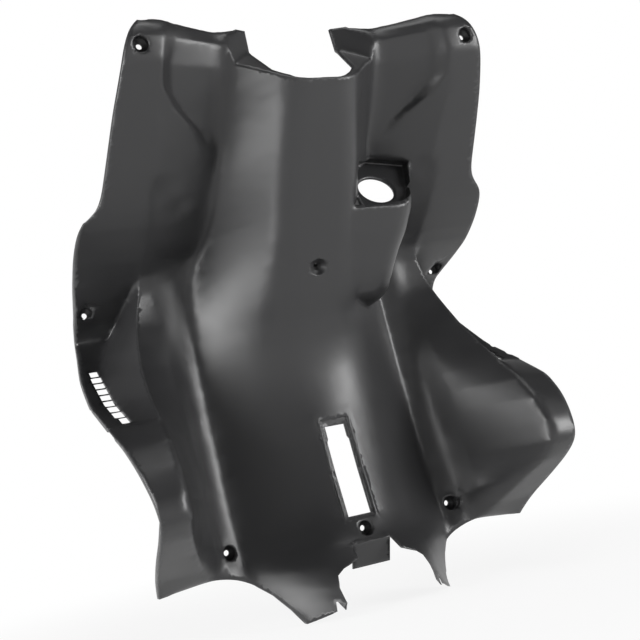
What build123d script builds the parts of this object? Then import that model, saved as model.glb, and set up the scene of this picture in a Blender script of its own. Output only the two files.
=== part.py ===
"""Inner leg shield of a small scooter: one moulded plastic panel.

The rider's knees face it. A spine runs down the middle over the steering column, wings close
the front on both sides, and the lower half swells into a tunnel between two foot wells.
+X is the rider's right, +Y is forward and +Z is up. The origin is the middle of the screw hole
at the centre of the lower edge. Every size is in millimetres.
"""
import os
from math import cos, radians, sin, sqrt

from build123d import *

# Wall and general sizes
wall = 3.0
top_z, vent_floor_z, bottom_z = 530.0, 145.0, -88.0
side_x, front_y = 246.0, 260.0

# Heights of the profiles, closer together where the guide lines turn
upper_stations = [518, 506, 494, 472, 452, 436, 421, 404, 384, 368, 354, 341, 326, 312, 298, 282, 265, 248, 226,
                  200, 172]
lower_stations = [122, 98, 72, 52, 34, 13, -8, -26, -44]

# Guide lines of the right half, each a list of (height, value) from the top down
crown_y = [(540, 10), (522, -30), (514, -62), (507, -92), (500, -114), (490, -121), (471, -115),
           (440, -98), (317, -26), (246, 12), (206, 32), (170, 38), (117, 32), (60, 20), (11, 7),
           (0, 2), (-13, -8), (-22, -22), (-30, -31), (-45, -39), (-70, -48), (-95, -58)]
ridge_x = [(540, 27), (440, 33), (381, 38), (317, 41), (246, 43), (199, 41), (150, 37), (84, 30),
           (12, 25), (-20, 27), (-40, 34), (-70, 53), (-95, 62)]
valley_x = [(540, 81), (471, 83), (412, 84), (380, 87), (350, 90), (329, 94), (305, 104), (250, 114),
            (190, 116), (84, 116), (0, 118), (-30, 116), (-50, 110), (-95, 98)]
valley_y = [(540, -22), (530, -30), (515, -44), (503, -57), (490, -61), (471, -52), (412, -6), (380, 18),
            (350, 46), (329, 72), (314, 90), (300, 99), (285, 101), (250, 100), (190, 94), (130, 85),
            (84, 77), (40, 69), (0, 58), (-32, 48), (-60, 42), (-95, 36)]
step_in_x = [(540, 132), (502, 136), (475, 145), (460, 146), (450, 143), (437, 128), (425, 114),
             (411, 98), (401, 97), (385, 104), (350, 118), (300, 124), (-20, 127), (-50, 121), (-95, 110)]
step_out_x = [(540, 146), (502, 150), (471, 156), (456, 157), (447, 155), (427, 131), (412, 110),
              (401, 109), (385, 121), (350, 134), (300, 137), (-20, 138), (-50, 132), (-95, 122)]
foot_x = [(540, 164), (447, 164), (425, 161), (400, 158), (330, 157), (303, 155), (276, 151), (205, 148),
          (64, 150), (13, 152), (-7, 150), (-40, 144), (-95, 134)]
foot_y = [(303, 84), (285, 94), (276, 95), (250, 92), (225, 84), (196, 75), (160, 63), (129, 53),
          (95, 46), (61, 42), (30, 35), (13, 31), (0, 37), (-10, 44), (-19, 48), (-40, 54), (-95, 50)]
rim_x = [(540, 172), (447, 171), (400, 168), (303, 166), (276, 171), (258, 176), (241, 180), (205, 188),
         (151, 194), (64, 198), (35, 195), (13, 184), (-7, 173), (-19, 161), (-40, 152), (-95, 142)]
rim_y = [(303, 80), (297, 85), (287, 89), (276, 91), (258, 91), (241, 84), (205, 61), (181, 39),
         (151, 3), (123, -33), (97, -56), (72, -68), (52, -70), (34, -50), (13, -11), (-7, 22),
         (-19, 45), (-40, 56), (-95, 56)]
margin_x = [(540, 190), (330, 184), (303, 174), (284, 175), (269, 179), (239, 197), (216, 209),
            (204, 213), (147, 216)]
edge_y = [(540, -45), (528, -61), (519, -75), (514, -83), (509, -88), (503, -91.5), (496, -93.5),
          (482, -93), (467, -84), (435, -58), (398, -25), (363, 8), (347, 24), (338, 34), (298, 86),
          (283, 118), (272, 148), (262, 166), (250, 173), (232, 163), (201, 128), (176, 94), (160, 62),
          (142, 18), (120, -27), (93, -54), (72, -66), (52, -70), (36, -52), (15, -18), (-12, 29),
          (-26, 44), (-60, 58), (-95, 64)]
step_depth = [(540, 2), (502, 4), (480, 10), (460, 12), (440, 12), (425, 9), (412, 4), (400, 0)]
panel_slope = 0.36
crease_depth = 5.0


def follow(line, height):
    """Value of a guide line at a height, on a smooth curve that never overshoots its points."""
    points = sorted(line)
    if height <= points[0][0]:
        return float(points[0][1])
    if height >= points[-1][0]:
        return float(points[-1][1])
    rises = [(b[1] - a[1]) / (b[0] - a[0]) for a, b in zip(points, points[1:])]
    slopes = [rises[0]]
    for before, after in zip(rises, rises[1:]):
        slopes.append(0.0 if before * after <= 0 else 2 * before * after / (before + after))
    slopes.append(rises[-1])
    for k, (a, b) in enumerate(zip(points, points[1:])):
        if height <= b[0]:
            span = b[0] - a[0]
            t = (height - a[0]) / span
            return ((1 + 2 * t) * (1 - t) ** 2 * a[1] + t * (1 - t) ** 2 * span * slopes[k]
                    + t * t * (3 - 2 * t) * b[1] + t * t * (t - 1) * span * slopes[k + 1])


def fade(height, low, high):
    """0 below one height, 1 above another, smooth in between."""
    t = min(1.0, max(0.0, (height - low) / (high - low)))
    return t * t * (3 - 2 * t)


def corners(height, vented):
    """Corners of the rider-side profile of the right half at a height, from the spine outward."""
    edge = follow(edge_y, height)
    corner_x = [follow(line, height) for line in (ridge_x, valley_x, step_in_x, step_out_x, foot_x, rim_x)]
    ridge, valley, step_in, step_out, foot, rim = corner_x
    valley_at = follow(valley_y, height)
    lower = 1 - fade(height, 303, 330)
    panel_in = edge + panel_slope * (157 - step_in) + crease_depth * (1 - fade(height, 340, 352))
    panel_out = edge + panel_slope * (157 - step_out) + crease_depth * (1 - fade(height, 352, 364))
    well_in, well_out = valley_at - 3, valley_at - 8
    step_in_at = (1 - lower) * (panel_in + follow(step_depth, height)) + lower * well_in
    step_out_at = (1 - lower) * panel_out + lower * well_out
    if height > 303:
        foot_at = edge + (1 - fade(height, 366, 380)) * crease_depth
        rim_at = edge
    else:
        foot_at, rim_at = follow(foot_y, height), follow(rim_y, height)
    if vented:
        margin = (follow(margin_x, height), edge)
        outer = (side_x, edge)
    else:
        reach = (edge - rim_at) / (236 - rim)
        margin = (214, rim_at + reach * (214 - rim))
        outer = (side_x, rim_at + reach * (side_x - rim))
    return [(ridge, follow(crown_y, height)), (valley, valley_at), (step_in, step_in_at),
            (step_out, step_out_at), (foot, foot_at), (rim, rim_at), margin, outer]


# Setbacks of the bends at the ridge and the valley, in the upper and in the lower half
bends, bend_chords = [(16, 28), (14, 12)], 3


def section(offset, height, vented):
    """Corners of the right half at a height, its rider side moved forward by an offset."""
    here = [Vector(x, y) for x, y in corners(height, vented)]
    above = [Vector(x, y) for x, y in corners(height + 1, vented)]
    here = [Vector(0, here[0].Y)] + here
    above = [Vector(0, above[0].Y)] + above
    normals, moves = [], []
    for k in range(len(here) - 1):
        along = (here[k + 1] - here[k]).normalized()
        normal = Vector(-along.Y, along.X)
        drift = (above[k] + above[k + 1] - here[k] - here[k + 1]).dot(normal) / 2
        normals.append(normal)
        moves.append(offset * sqrt(1 + drift * drift))
    half = []
    for k in range(1, len(here) - 1):
        middle = (normals[k - 1] + normals[k]).normalized()
        along = Vector(middle.Y, -middle.X)
        inward = (moves[k - 1] + moves[k]) / (2 * middle.dot(normals[k]))
        spread = normals[k - 1].dot(along)
        slip = (moves[k - 1] - moves[k]) / (2 * spread) if abs(spread) > 0.001 else 0.0
        half.append(here[k] + middle * inward + along * max(-offset, min(offset, slip)))
    half.append(Vector(side_x + offset, here[-1].Y + moves[-1] / normals[-1].Y))
    return [Vector(p.X, p.Y, height) for p in half]


def profile(offset, height, vented):
    """Closed outline of the body at a height: bent at the ridge and the valley, straight between."""
    half = section(offset, height, vented)
    lower = 1 - fade(height, 200, 300)
    chords = 1 if offset else bend_chords
    points = []
    for k, corner in enumerate(half):
        if k < len(bends):
            high, low = bends[k]
            before = half[k - 1] - corner if k else Vector(-corner.X, corner.Y, height) - corner
            after = half[k + 1] - corner
            size = high * (1 - lower) + low * lower
            size = min(size, 0.45 * before.length, 0.45 * after.length) * (0.5 if offset else 1.0)
            first, last = before.normalized() * size, after.normalized() * size
            for step in range(chords + 1):
                t = step / chords
                points.append(corner + first * (1 - t) ** 2 + last * t ** 2)
        else:
            points.append(corner)
    points.append(Vector(side_x + offset, front_y + offset, height))
    return Wire.make_polygon(points + [Vector(-p.X, p.Y, p.Z) for p in reversed(points)])


def body(offset):
    """Solid behind the rider side, in two lofts that meet in a level step at the vents' foot."""
    split = vent_floor_z - offset
    upper = [top_z + offset] + upper_stations + [split]
    lower = [split] + lower_stations + [bottom_z - offset]
    return (Solid.make_loft([profile(offset, z, True) for z in upper], ruled=True)
            + Solid.make_loft([profile(offset, z, False) for z in lower], ruled=True))


# Front view of the right half, from the wing's top round the free edge to the fin's foot
free_edge = [(114, 514), (137, 517), (160, 518), (173, 513), (184, 503), (191, 485), (195, 467),
             (202, 435), (211, 374), (212.5, 364), (216, 357), (229, 350), (233.5, 345.5), (236, 338),
             (238, 320), (236.5, 298), (229.5, 275), (226.5, 262), (228.5, 232), (236.5, 201), (239.5, 170),
             (239, 142), (236.5, 118), (232, 90), (227.5, 66), (225.5, 42), (221.5, 13), (212, -27)]
arch = [(156, -21), (135, -24), (117, -32), (100, -48), (89, -64), (82, -78)]
leg_end = [(60, -68.5), (58, -60), (56, -60), (53.5, -68), (50.5, -62), (51, -48), (48, -37), (41, -31.5), (25, -25)]
neck = [(0, 445.5), (26, 448), (44.5, 461)]
ear = [(46.5, 474), (49, 489), (48, 518.5)]


def shield_prism():
    """Front view of the whole panel, drawn through from back to front."""
    with BuildPart() as prism:
        with BuildSketch(Plane.XZ):
            with BuildLine():
                ThreePointArc(*neck)
                Polyline(neck[-1], *ear, (60, 516.5), (89, 513), free_edge[0])
                Polyline(*free_edge)
                Polyline(free_edge[-1], *arch)
                Polyline(arch[-1], *leg_end, (21.7, -13), (0, -12), neck[0])
            make_face()
            mirror(about=Plane.YZ)
        extrude(amount=420, both=True)
    return prism.part


# Collar: the spine is cut off along a plane that rises forward, and an ear stands on each side
collar_foot, collar_rise = (-99.0, 443.0), 1.17
ear_tip, ear_splay, ear_lean = (49.0, -40.0, 489.0), 0.75, 0.12


def collar_cut(offset):
    """Space in front of the collar and between the ears, moved back by the wall for the inside."""
    shift = offset * sqrt(1 + ear_splay ** 2 + ear_lean ** 2)
    level = offset * sqrt(1 + collar_rise ** 2)
    tip_x, tip_y, tip_z = ear_tip
    low, high = 425.0, 560.0
    with BuildPart() as cut:
        with BuildSketch(Plane.XY.offset(low)):
            y = tip_y + ear_lean * (low - tip_z) + shift
            ridge, flank = y + ear_splay * tip_x, y - ear_splay * (110 - tip_x)
            with BuildLine():
                Polyline((-110, flank), (0, ridge), (110, flank), (110, -300), (-110, -300), close=True)
            make_face()
        extrude(amount=high - low, dir=(0, ear_lean, 1))
        with BuildSketch(Plane.YZ):
            y = collar_foot[0] + level
            with BuildLine():
                Polyline((y + collar_rise * (400 - collar_foot[1]), 400),
                         (y + collar_rise * (600 - collar_foot[1]), 600), (-400, 600), (-400, 400),
                         close=True)
            make_face()
        extrude(amount=150, both=True, mode=Mode.INTERSECT)
    return cut.part


# Key boss on the right of the spine: a column whose sunk, tilted end carries the lock's hole
key_tilt, key_radius = 33.0, 20.3
key_centre = (85.0, 0.0, 350.0)
key_sunk = 10.0
column = [(400, -31, 143, 26), (372, -31, 132, 26), (350, -30.5, 122, 26), (327, -30, 119, 26),
          (300, -16, 112, 25), (285, -7, 105, 24), (266, 4, 99, 22), (254, 12, 96, 20),
          (244, 20, 93, 18), (238, 29, 89, 15), (234, 42, 84, 11), (231, 60, 78, 7)]
column_flare = 0.18
key_plane = Plane(origin=key_centre, x_dir=(1, 0, 0),
                  z_dir=(0, -cos(radians(key_tilt)), sin(radians(key_tilt))))


def key_column(offset):
    """Column from its tilted rim down to its rounded lower end."""
    with BuildPart() as post:
        for height, front, right, radius in column:
            with BuildSketch(Plane.XY.offset(height + offset)):
                x, y, r = right - offset, front + offset * 1.2, radius
                with BuildLine():
                    Polyline((25, 110), (25, y + 2), *[(x - r + r * sin(radians(a)), y + r - r * cos(radians(a)))
                                                       for a in range(0, 91, 15)],
                             (x + column_flare * (110 - y - r), 110), close=True)
                make_face()
        loft(ruled=True)
        split(bisect_by=key_plane.offset(key_sunk), keep=Keep.BOTTOM)
    return post.part


def key_pocket(grow, sink):
    """Space over the sunk end of the column, open towards the rider."""
    with BuildPart() as pocket:
        with BuildSketch(Plane.XZ.offset(-60)):
            with BuildLine():
                Polyline((54 - grow, 326 - grow), (95, 329.5 - grow))
                ThreePointArc((95, 329.5 - grow), (113.5 + grow * 0.7, 336.5 - grow * 0.7),
                              (123 + grow, 354))
                Polyline((123 + grow, 354), (133.5 + grow, 379.5 + grow), (90, 388 + grow),
                         (54 - grow, 375 + grow), (54 - grow, 326 - grow))
            make_face()
        extrude(amount=220)
        split(bisect_by=key_plane.offset(-sink), keep=Keep.TOP)
    return pocket.part


# Slot in the tunnel for the frame's plate, inside a shallow recess
slot_recess = [(16.6, 12.0), (16.6, 58.0), (15.8, 58.0), (15.8, 116.6)]
slot_hole = [(13.2, 13.8), (13.2, 92.0), (11.5, 95.5), (11.5, 108.6)]
slot_line, slot_depth = [(12.0, 7.2), (60.0, 20.0), (117.0, 32.0)], 2.6


def tunnel_layer(half_width, margin, front, back):
    """Block that follows the tunnel's crown round the slot, between two depths."""
    (z0, y0), (z1, y1), (z2, y2) = slot_line
    line = [(y0 - margin * 0.27, z0 - margin), (y1, z1), (y2 + margin * 0.2, z2 + margin)]
    with BuildPart() as layer:
        with BuildSketch(Plane.YZ):
            with BuildLine():
                Polyline(*[(y + front, z) for y, z in line], *[(y + back, z) for y, z in line[::-1]],
                         close=True)
            make_face()
        extrude(amount=half_width, both=True)
    return layer.part


def front_prism(points):
    """Prism along Y from a front view outline of the right half and its mirror image."""
    with BuildPart() as prism:
        with BuildSketch(Plane.XZ):
            with BuildLine():
                Polyline((0, points[0][1]), *points, (0, points[-1][1]), close=True)
            make_face()
            mirror(about=Plane.YZ)
        extrude(amount=120, both=True)
    return prism.part


# Vent slots beside the outboard edge of each foot well, from the lowest up
vent_count, vent_pitch, vent_height = 9, 7.25, 5.7
vent_first_z, vent_inner_x, vent_outer_x = 148.0, 214.0, 225.5


def vents():
    """Row of level prisms that cut the vents on both sides."""
    with BuildPart() as slots:
        for side in (-1, 1):
            for k in range(vent_count):
                lean = 2.0 * (k == vent_count - 1) + 2.5 * (k == 0)
                width = vent_outer_x - vent_inner_x - lean
                middle = (vent_outer_x + vent_inner_x) / 2 - lean / 2 * (k == 0)
                with Locations((side * middle, 100, vent_first_z + vent_pitch * k)):
                    Box(width, 260, vent_height, align=(Align.CENTER, Align.CENTER, Align.MIN))
    return slots.part


# Screw places: (x, mouth y, seat y, z). The left ones mirror the right ones
screws = [(175.8, -95.8, -83.7, 486.2), (217.8, 128.0, 147.5, 274.8), (131.3, 54.4, 64.4, 0.7)]
centre_screw = (0.0, 0.0, 10.2, 0.0)
counterbore_radius, screw_radius, seat_thick = 7.7, 3.0, 3.0
spine_screw_z, spine_screw_lean, spine_boss = 273.2, 28.0, 17.0


def bores(radius, start, end):
    """Cylinders along Y at every screw place, between two depths given by functions of the place."""
    with BuildPart() as group:
        places = [centre_screw] + screws + [(-x, mouth, seat, z) for x, mouth, seat, z in screws]
        for x, mouth, seat, z in places:
            low, high = start(mouth, seat), end(mouth, seat)
            with Locations(Location((x, low, z), (-90, 0, 0))):
                Cylinder(radius, high - low, align=(Align.CENTER, Align.CENTER, Align.MIN))
    return group.part


spine_screw = Plane(origin=(0, follow(crown_y, spine_screw_z), spine_screw_z), x_dir=(1, 0, 0),
                    z_dir=(0, cos(radians(spine_screw_lean)), sin(radians(spine_screw_lean))))

# Lip that stiffens the free edge, standing forward behind the wall
lip_depth, lip_wide = 5.5, 2.4


def edge_ring():
    """Band along the free edge, seen from the front."""
    with BuildPart() as ring:
        with BuildSketch(Plane.XZ):
            with BuildLine():
                Polyline((0, 514), *free_edge, (206, -60), (0, -60), close=True)
            make_face()
            mirror(about=Plane.YZ)
            offset(amount=-lip_wide, kind=Kind.INTERSECTION, mode=Mode.SUBTRACT)
        extrude(amount=300, both=True)
        with Locations((0, 0, 250)):
            Box(240, 900, 900, mode=Mode.SUBTRACT)
    return ring.part


# Landing tab under the centre of the lower edge
tab_root, tab_foot = (-6.5, -12.0), (4.5, -37.5)


with BuildPart() as front_side:
    add(body(0.0))
    add(key_column(0.0))
    add(collar_cut(0.0), mode=Mode.SUBTRACT)
    add(key_pocket(0.0, 0.0), mode=Mode.SUBTRACT)

with BuildPart() as back_side:
    add(body(wall))
    add(key_column(wall))
    add(collar_cut(wall), mode=Mode.SUBTRACT)
    add(key_pocket(wall, wall), mode=Mode.SUBTRACT)

with BuildPart() as edge_lip:
    add(back_side.part)
    add(back_side.part.moved(Location((0, lip_depth, 0))), mode=Mode.SUBTRACT)
    add(edge_ring(), mode=Mode.INTERSECT)
    add(shield_prism(), mode=Mode.INTERSECT)

with BuildPart() as panel:
    add(front_side.part)
    add(shield_prism(), mode=Mode.INTERSECT)
    add(back_side.part, mode=Mode.SUBTRACT)
    add(edge_lip.part)
    # Tubes and backing pads behind the wall
    add(bores(counterbore_radius + 2.2, lambda mouth, seat: mouth, lambda mouth, seat: seat + seat_thick)
        & front_side.part)
    add(tunnel_layer(19.0, 4.0, 1.0, slot_depth + wall))
    with BuildSketch(spine_screw.offset(1)):
        Circle(11)
    extrude(amount=spine_boss - 1)
    # Landing tab
    with BuildSketch(Plane.YZ):
        with BuildLine():
            (y0, z0), (y1, z1) = tab_root, tab_foot
            Polyline((y0, z0), (y1, z1), (y1 + wall, z1), (y0 + wall + 0.6, z0 + 2), (y0, z0 + 2),
                     close=True)
        make_face()
    extrude(amount=21, both=True)
    # Cuts
    add(bores(counterbore_radius, lambda mouth, seat: mouth - 40, lambda mouth, seat: seat),
        mode=Mode.SUBTRACT)
    add(bores(screw_radius, lambda mouth, seat: mouth, lambda mouth, seat: seat + 10),
        mode=Mode.SUBTRACT)
    with BuildSketch(spine_screw):
        Circle(8.8)
    extrude(amount=3.2, both=True, mode=Mode.SUBTRACT)
    with BuildSketch(spine_screw):
        Circle(4.8)
    extrude(amount=7, mode=Mode.SUBTRACT)
    with BuildSketch(spine_screw):
        Circle(2.6)
    extrude(amount=20, mode=Mode.SUBTRACT)
    add(tunnel_layer(30.0, 8.0, -30.0, slot_depth) & front_prism(slot_recess), mode=Mode.SUBTRACT)
    add(front_prism(slot_hole), mode=Mode.SUBTRACT)
    add(vents(), mode=Mode.SUBTRACT)
    with BuildSketch(key_plane):
        Circle(key_radius)
    extrude(amount=30, both=True, mode=Mode.SUBTRACT)

# The guide lines are drawn from the centre counterbore's mouth; the origin lies in its screw hole
with BuildPart() as leg_shield:
    add(panel.part.moved(Location((0, -centre_screw[2] - seat_thick / 2, 0))))

os.makedirs("parts", exist_ok=True)
leg_shield.part.label = "leg_shield"
export_step(leg_shield.part, "parts/leg_shield.step")
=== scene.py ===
"""Looks of the scooter leg shield: soft moulded forms, satin black plastic and a white studio."""
from math import radians

import bmesh
import bpy
from mathutils import Matrix, Vector


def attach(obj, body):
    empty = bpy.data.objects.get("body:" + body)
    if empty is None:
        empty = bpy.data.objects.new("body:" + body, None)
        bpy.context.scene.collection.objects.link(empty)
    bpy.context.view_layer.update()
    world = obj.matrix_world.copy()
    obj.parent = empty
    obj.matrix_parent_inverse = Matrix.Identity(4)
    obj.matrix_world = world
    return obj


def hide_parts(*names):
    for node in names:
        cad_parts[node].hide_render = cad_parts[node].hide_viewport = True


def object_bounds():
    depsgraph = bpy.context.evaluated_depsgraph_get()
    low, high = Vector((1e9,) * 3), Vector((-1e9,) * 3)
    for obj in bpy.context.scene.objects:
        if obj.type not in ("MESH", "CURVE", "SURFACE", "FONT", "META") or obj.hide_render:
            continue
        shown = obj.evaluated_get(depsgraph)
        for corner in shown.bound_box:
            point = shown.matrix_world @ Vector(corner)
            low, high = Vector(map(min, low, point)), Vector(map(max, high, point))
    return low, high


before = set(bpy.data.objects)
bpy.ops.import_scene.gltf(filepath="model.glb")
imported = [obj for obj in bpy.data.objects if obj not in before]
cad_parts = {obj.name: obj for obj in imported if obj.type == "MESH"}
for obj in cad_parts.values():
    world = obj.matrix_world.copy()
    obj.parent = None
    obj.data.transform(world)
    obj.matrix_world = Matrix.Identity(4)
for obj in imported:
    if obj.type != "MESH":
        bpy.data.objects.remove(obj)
cad_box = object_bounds()

# Camera, low on the panel's left and slightly below level, as in the photograph
eye = Vector((-0.470, -1.0485, 0.1055))
aim = Vector((0.4045, 0.9092, 0.0988))
camera_roll = radians(10.6)
lens_mm, sensor_mm = 61.875, 36.0
nearest, farthest = 0.05, 50

# Panel as a fine, even mesh
node = "leg_shield"
weld = 0.000002                 # points this near each other are one point
speck = 0.00005                 # sides shorter than this are taken out
cell = 0.0060                   # sides are halved until none is longer than this
level_turn = radians(12)        # a side that turns less than this may then be turned for a better pair
shading_turn = radians(45)      # edges that turn more than this are shaded sharp

# Edges that stay crisp
cut_turn = radians(50)          # rims, holes, cut edges and small forms where they turn more than this
fold_turn = radians(76)         # any other edge that turns more than this
cut_lean = 0.03                 # a face cut in the front view leans less than this towards Y
sliver = 0.0002                 # a triangle lower than this says nothing about a crease

# Rounds of easing, each on a smaller part of the panel than the one before
easing_step = 0.5               # how far a point goes towards the middle of its neighbours
mould_rounds = 3                # on all folds
lower_rounds = 6                # below the wings' folds
folds_end = 0.300
flow_rounds = 26                # where the tunnel, the wells and the left shoulder flow together
flow_reach = 0.152
tunnel_top, shoulder_top = 0.225, 0.320
flow_fade = 0.05                # the flowing part's top comes down by this over the rounds
spine_side = 0.060              # the left shoulder begins this far from the middle

# Small forms that get the mould rounds only: their x range and their z range
plate_slot = ((-0.024, 0.024), (0.004, 0.125))
spine_screw_seat = ((-0.012, 0.012), (0.264, 0.293))
landing_tab = ((-0.030, 0.030), (-0.080, -0.012))
key_boss = ((0.050, 0.135), (0.222, 0.420))
left_screw_seat = ((-0.146, -0.116), (-0.014, 0.016))
right_screw_seat = ((0.116, 0.146), (-0.014, 0.016))
small_forms = [plate_slot, spine_screw_seat, landing_tab, key_boss, left_screw_seat, right_screw_seat]
clips_top = -0.056              # the legs' clips, below this, are small forms too

# Outlines of the wings and the arches, which become curves
outline_rounds = 12
outline_turn = radians(60)      # a corner that turns more than this stays a corner
outline_from_x = 0.115          # they lie farther out than this
vents_x, vents_z = 0.232, (0.145, 0.215)

# Screw holes: distance from the middle plane and height
screws = [(0.1758, 0.4862), (0.2178, 0.2748), (0.1313, 0.0007), (0.0, 0.2741), (0.0, 0.0)]
screw_clearance = 0.012

# Satin black plastic; a pattern is its scale, detail and roughness
cloud_pattern = (9.0, 3.0, 0.5)
dark_tone, light_tone = (0.021, 0.021, 0.022), (0.028, 0.028, 0.029)
# Crisp edges are painted lighter in patches, partly as rubbed wear and partly as a painted highlight
# where they would catch the light
edge_patch_pattern = (60.0, 4.0, 0.6)
edge_patch_share, edge_patch_share_at = (0.1, 1.0), (0.35, 0.65)
rim_share, rim_share_at = (0.0, 1.0), (0.55, 1.0)
rub_and_highlight_tone = (0.075, 0.075, 0.077)
flow_mark_pattern = (26.0, 4.0, 0.6)
satin_roughness, satin_roughness_at = (0.34, 0.40), (0.3, 0.7)
grain_pattern = (2600.0, 2.0, 0.7)
grain_strength, grain_depth = 0.22, 0.0002

# Studio
floor_gap, floor_radius, floor_sides = 0.0005, 6.0, 64
floor_white, floor_roughness = (0.9, 0.9, 0.9, 1), 0.9
floor_brightness = (0.86, 1.0)      # for the camera, under the panel and away from it
floor_brightness_at = (0.25, 0.80)  # distances from the origin
wall_light = (1.0, 0.02)            # of the low white wall and of the dim ceiling
wall_light_at = (0.0, 0.55)         # how steeply a ray goes up to them
panel_middle = Vector((0, 0, 0.22))
soft_boxes = [                      # name, place, width, height, power
    ("left_box", (-2.0, -0.3, 0.45), 1.0, 1.2, 37),
    ("right_box", (1.6, -1.5, 0.55), 0.8, 1.0, 38),
    ("top_box", (0.2, -0.3, 2.0), 1.0, 1.0, 8),
]


def photo_camera():
    """Camera at the photograph's place, turned about its own axis by the roll."""
    data = bpy.data.cameras.new("photo_camera")
    data.lens, data.sensor_width = lens_mm, sensor_mm
    data.clip_start, data.clip_end = nearest, farthest
    camera = bpy.data.objects.new("photo_camera", data)
    camera.location = eye
    camera.rotation_mode = "QUATERNION"
    roll = Matrix.Rotation(camera_roll, 4, aim).to_quaternion()
    camera.rotation_quaternion = roll @ aim.to_track_quat("-Z", "Y")
    bpy.context.scene.collection.objects.link(camera)
    bpy.context.scene.camera = camera


def split_finely(bm):
    """Joins the CAD's loose triangles and splits them into small, even ones."""
    bmesh.ops.remove_doubles(bm, verts=bm.verts, dist=weld)
    bmesh.ops.dissolve_degenerate(bm, dist=speck, edges=bm.edges)
    for size in (cell * 8, cell * 4, cell * 2, cell):
        sides = [e for e in bm.edges if e.calc_length() > size]
        bmesh.ops.subdivide_edges(bm, edges=sides, cuts=1)
        bmesh.ops.triangulate(bm, faces=[f for f in bm.faces if len(f.verts) > 3])
    bm.normal_update()
    level = [e for e in bm.edges if len(e.link_faces) == 2 and e.calc_face_angle() < level_turn]
    bmesh.ops.beautify_fill(bm, faces=bm.faces, edges=level, method="ANGLE")
    bm.normal_update()


def thin(face):
    return 2 * face.calc_area() < sliver * max(e.calc_length() for e in face.edges)


def in_small_form(place):
    """Whether a point belongs to the plate slot, a screw's seat, the tab, the key boss or a clip."""
    return place.z < clips_top or any(
        x_from < place.x < x_to and z_from < place.z < z_to
        for (x_from, x_to), (z_from, z_to) in small_forms)


def crisp(edge):
    """Whether an edge is a rim, a hole's mouth or a cut edge, or else a fold too sharp to ease."""
    faces = edge.link_faces
    if len(faces) != 2:
        return True
    turn = edge.calc_face_angle()
    if turn < cut_turn or any(thin(f) for f in faces):
        return False
    cut = in_small_form(edge.verts[0].co) or any(abs(f.normal.y) < cut_lean for f in faces)
    return cut or turn > fold_turn


def clear_of_screws(place):
    x, z = abs(place.x), place.z
    return all((x - hx) ** 2 + (z - hz) ** 2 > screw_clearance ** 2 for hx, hz in screws)


def on_outline(place):
    """Whether a crisp point is on the wings' or arches' outline, clear of the holes and the vents."""
    x, z = abs(place.x), place.z
    vented = x < vents_x and vents_z[0] < z < vents_z[1]
    return x > outline_from_x and not vented and clear_of_screws(place)


def ease_outlines(crisp_edges):
    """Turns the straight chords of the long outlines into flowing curves."""
    ends = {}
    for edge in crisp_edges:
        for vert in edge.verts:
            ends.setdefault(vert, []).append(edge.other_vert(vert))
    eased = [(v, pair) for v, pair in ends.items() if len(pair) == 2 and on_outline(v.co)]
    for _ in range(outline_rounds):
        places = []
        for vert, (one, other) in eased:
            before, after = vert.co - one.co, other.co - vert.co
            straight = before.length > 0 and after.length > 0 and before.angle(after) < outline_turn
            middle = (one.co + other.co) / 2
            places.append(vert.co.lerp(middle, easing_step) if straight else vert.co.copy())
        for (vert, _), place in zip(eased, places):
            vert.co = place


def in_flow(place, fall):
    """Whether a point is where the tunnel, the wells and the left shoulder flow into each other."""
    top = shoulder_top if place.x < -spine_side else tunnel_top
    return abs(place.x) < flow_reach and place.z < top - fall


def soften(bm, verts):
    axes = {"use_axis_x": True, "use_axis_y": True, "use_axis_z": True}
    bmesh.ops.smooth_vert(bm, verts=verts, factor=easing_step, **axes)


def ease_folds(bm, held):
    """Rounds the folds as a mould leaves them, most where the broad forms flow together."""
    free = [v for v in bm.verts if v not in held]
    for _ in range(mould_rounds):
        soften(bm, free)
    broad = [v for v in free if not in_small_form(v.co)]
    for _ in range(lower_rounds):
        soften(bm, [v for v in broad if v.co.z < folds_end])
    for k in range(flow_rounds):
        soften(bm, [v for v in broad if in_flow(v.co, flow_fade * k / flow_rounds)])


def moulded_panel():
    """The CAD panel with its folds and outlines eased and its crisp edges marked for rubbed wear and a
    painted highlight.
    """
    bm = bmesh.new()
    bm.from_mesh(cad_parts[node].data)
    rub_and_highlight = bm.verts.layers.float.new("rub_and_highlight")
    split_finely(bm)
    crisp_edges = [e for e in bm.edges if crisp(e)]
    held = {v for e in crisp_edges for v in e.verts}
    ease_outlines(crisp_edges)
    for vert in bm.verts:
        # crisp edges clear of the screws' seats get the lighter colour: rubbed wear and a painted
        # highlight
        vert[rub_and_highlight] = 1.0 if vert in held and clear_of_screws(vert.co) else 0.0
    ease_folds(bm, held)
    mesh = bpy.data.meshes.new("moulded_panel")
    bm.to_mesh(mesh)
    bm.free()
    mesh.shade_smooth()
    mesh.set_sharp_from_angle(angle=shading_turn)
    panel = bpy.data.objects.new("moulded_panel", mesh)
    bpy.context.scene.collection.objects.link(panel)
    return panel


def set_range(span, taken, given):
    """Sets which values a Map Range node takes and which it gives for them."""
    span.inputs["From Min"].default_value, span.inputs["From Max"].default_value = taken
    span.inputs["To Min"].default_value, span.inputs["To Max"].default_value = given


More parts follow.
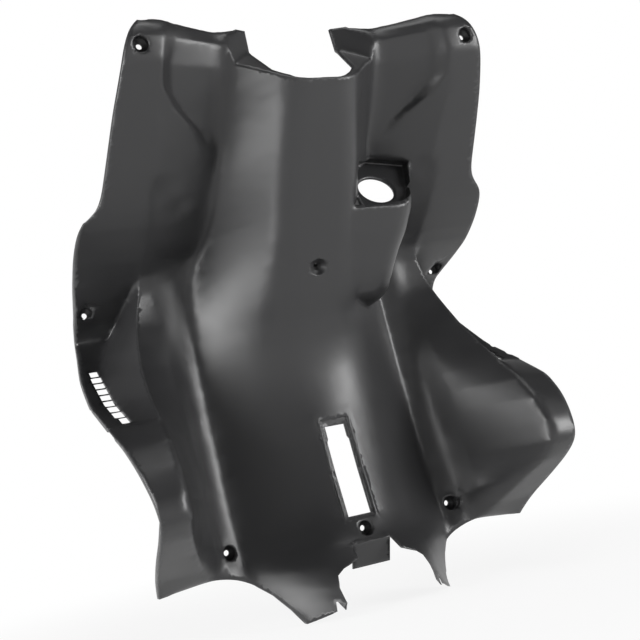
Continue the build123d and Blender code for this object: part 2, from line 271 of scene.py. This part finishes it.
def satin_black_plastic():
    """Black moulded plastic: a fine spark-eroded grain, faint flow marks, and crisp edges painted
    lighter as rubbed wear and a painted highlight.
    """
    material = bpy.data.materials.new("satin_black_plastic")
    material.use_nodes = True
    nodes, links = material.node_tree.nodes, material.node_tree.links
    shader = nodes["Principled BSDF"]
    shader.inputs["Specular IOR Level"].default_value = 0.5
    place = nodes.new("ShaderNodeTexCoord")

    def noise(pattern):
        texture = nodes.new("ShaderNodeTexNoise")
        for socket, value in zip(("Scale", "Detail", "Roughness"), pattern):
            texture.inputs[socket].default_value = value
        links.new(place.outputs["Object"], texture.inputs["Vector"])
        return texture.outputs["Fac"]

    def ramp(source, given, taken):
        span = nodes.new("ShaderNodeMapRange")
        set_range(span, taken, given)
        links.new(source, span.inputs["Value"])
        return span.outputs["Result"]

    def blend(factor, first, second):
        mix = nodes.new("ShaderNodeMix")
        mix.data_type = "RGBA"
        links.new(factor, mix.inputs["Factor"])
        for socket, colour in (("A", first), ("B", second)):
            if isinstance(colour, tuple):
                mix.inputs[socket].default_value = (*colour, 1)
            else:
                links.new(colour, mix.inputs[socket])
        return mix.outputs["Result"]

    tone = blend(noise(cloud_pattern), dark_tone, light_tone)

    # crisp edges lighter in patches: rubbed wear and a painted highlight
    edge = nodes.new("ShaderNodeAttribute")
    edge.attribute_name = "rub_and_highlight"
    rub_and_highlight_mask = nodes.new("ShaderNodeMath")
    rub_and_highlight_mask.operation = "MULTIPLY"
    links.new(ramp(edge.outputs["Fac"], rim_share, rim_share_at), rub_and_highlight_mask.inputs[0])
    links.new(ramp(noise(edge_patch_pattern), edge_patch_share, edge_patch_share_at), rub_and_highlight_mask.inputs[1])
    links.new(blend(rub_and_highlight_mask.outputs["Value"], tone, rub_and_highlight_tone), shader.inputs["Base Color"])

    satin = ramp(noise(flow_mark_pattern), satin_roughness, satin_roughness_at)
    links.new(satin, shader.inputs["Roughness"])

    skin = nodes.new("ShaderNodeBump")
    skin.inputs["Strength"].default_value = grain_strength
    skin.inputs["Distance"].default_value = grain_depth
    links.new(noise(grain_pattern), skin.inputs["Height"])
    links.new(skin.outputs["Normal"], shader.inputs["Normal"])
    return material


def white_floor_paint():
    """Matt white that the camera sees nearly bright under the panel and fully bright away from it."""
    material = bpy.data.materials.new("white_floor_paint")
    material.use_nodes = True
    nodes, links = material.node_tree.nodes, material.node_tree.links
    matt = nodes["Principled BSDF"]
    matt.inputs["Base Color"].default_value = floor_white
    matt.inputs["Roughness"].default_value = floor_roughness
    glow = nodes.new("ShaderNodeEmission")
    place = nodes.new("ShaderNodeTexCoord")
    away = nodes.new("ShaderNodeVectorMath")
    away.operation = "LENGTH"
    bright = nodes.new("ShaderNodeMapRange")
    bright.interpolation_type = "SMOOTHSTEP"
    set_range(bright, floor_brightness_at, floor_brightness)
    seen = nodes.new("ShaderNodeLightPath")
    mirrored = nodes.new("ShaderNodeMath")
    mirrored.operation = "MAXIMUM"
    share = nodes.new("ShaderNodeMath")
    share.operation = "MULTIPLY"
    both = nodes.new("ShaderNodeMixShader")
    links.new(place.outputs["Object"], away.inputs[0])
    links.new(away.outputs["Value"], bright.inputs["Value"])
    links.new(seen.outputs["Is Camera Ray"], mirrored.inputs[0])
    links.new(seen.outputs["Is Glossy Ray"], mirrored.inputs[1])
    links.new(mirrored.outputs["Value"], share.inputs[0])
    links.new(bright.outputs["Result"], share.inputs[1])
    links.new(share.outputs["Value"], both.inputs["Fac"])
    links.new(matt.outputs["BSDF"], both.inputs[1])
    links.new(glow.outputs["Emission"], both.inputs[2])
    links.new(both.outputs["Shader"], nodes["Material Output"].inputs["Surface"])
    return material


def white_floor():
    """Plain floor just under the panel's legs."""
    bm = bmesh.new()
    bmesh.ops.create_circle(bm, cap_ends=True, segments=floor_sides, radius=floor_radius)
    bmesh.ops.translate(bm, verts=bm.verts, vec=(0, 0, cad_box[0].z - floor_gap))
    mesh = bpy.data.meshes.new("floor")
    bm.to_mesh(mesh)
    bm.free()
    floor = bpy.data.objects.new("floor", mesh)
    floor.data.materials.append(white_floor_paint())
    bpy.context.scene.collection.objects.link(floor)


def white_surroundings():
    """White for the camera; on the object, the light of a low white wall under a dim ceiling."""
    world = bpy.data.worlds.new("white_studio")
    bpy.context.scene.world = world
    world.use_nodes = True
    nodes, links = world.node_tree.nodes, world.node_tree.links
    sky = nodes["Background"]
    sky.inputs["Color"].default_value = (1, 1, 1, 1)
    seen = nodes.new("ShaderNodeLightPath")
    level = nodes.new("ShaderNodeMapRange")
    level.inputs["To Max"].default_value = 1.0
    heading = nodes.new("ShaderNodeTexCoord")
    height = nodes.new("ShaderNodeSeparateXYZ")
    wall = nodes.new("ShaderNodeMapRange")
    wall.interpolation_type = "SMOOTHSTEP"
    set_range(wall, wall_light_at, wall_light)
    links.new(heading.outputs["Generated"], height.inputs["Vector"])
    links.new(height.outputs["Z"], wall.inputs["Value"])
    links.new(wall.outputs["Result"], level.inputs["To Min"])
    links.new(seen.outputs["Is Camera Ray"], level.inputs["Value"])
    links.new(level.outputs["Result"], sky.inputs["Strength"])


def soft_box(name, place, width, height, power):
    """Rectangular lamp that faces the middle of the panel."""
    data = bpy.data.lights.new(name, "AREA")
    data.shape, data.size, data.size_y, data.energy = "RECTANGLE", width, height, power
    lamp = bpy.data.objects.new(name, data)
    lamp.location = place
    lamp.rotation_mode = "QUATERNION"
    lamp.rotation_quaternion = (panel_middle - Vector(place)).to_track_quat("-Z", "Y")
    bpy.context.scene.collection.objects.link(lamp)


bpy.context.scene.view_settings.view_transform = "Standard"
photo_camera()
white_floor()
white_surroundings()
for box in soft_boxes:
    soft_box(*box)

panel = moulded_panel()
panel.data.materials.append(satin_black_plastic())
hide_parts(node)
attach(panel, "root")
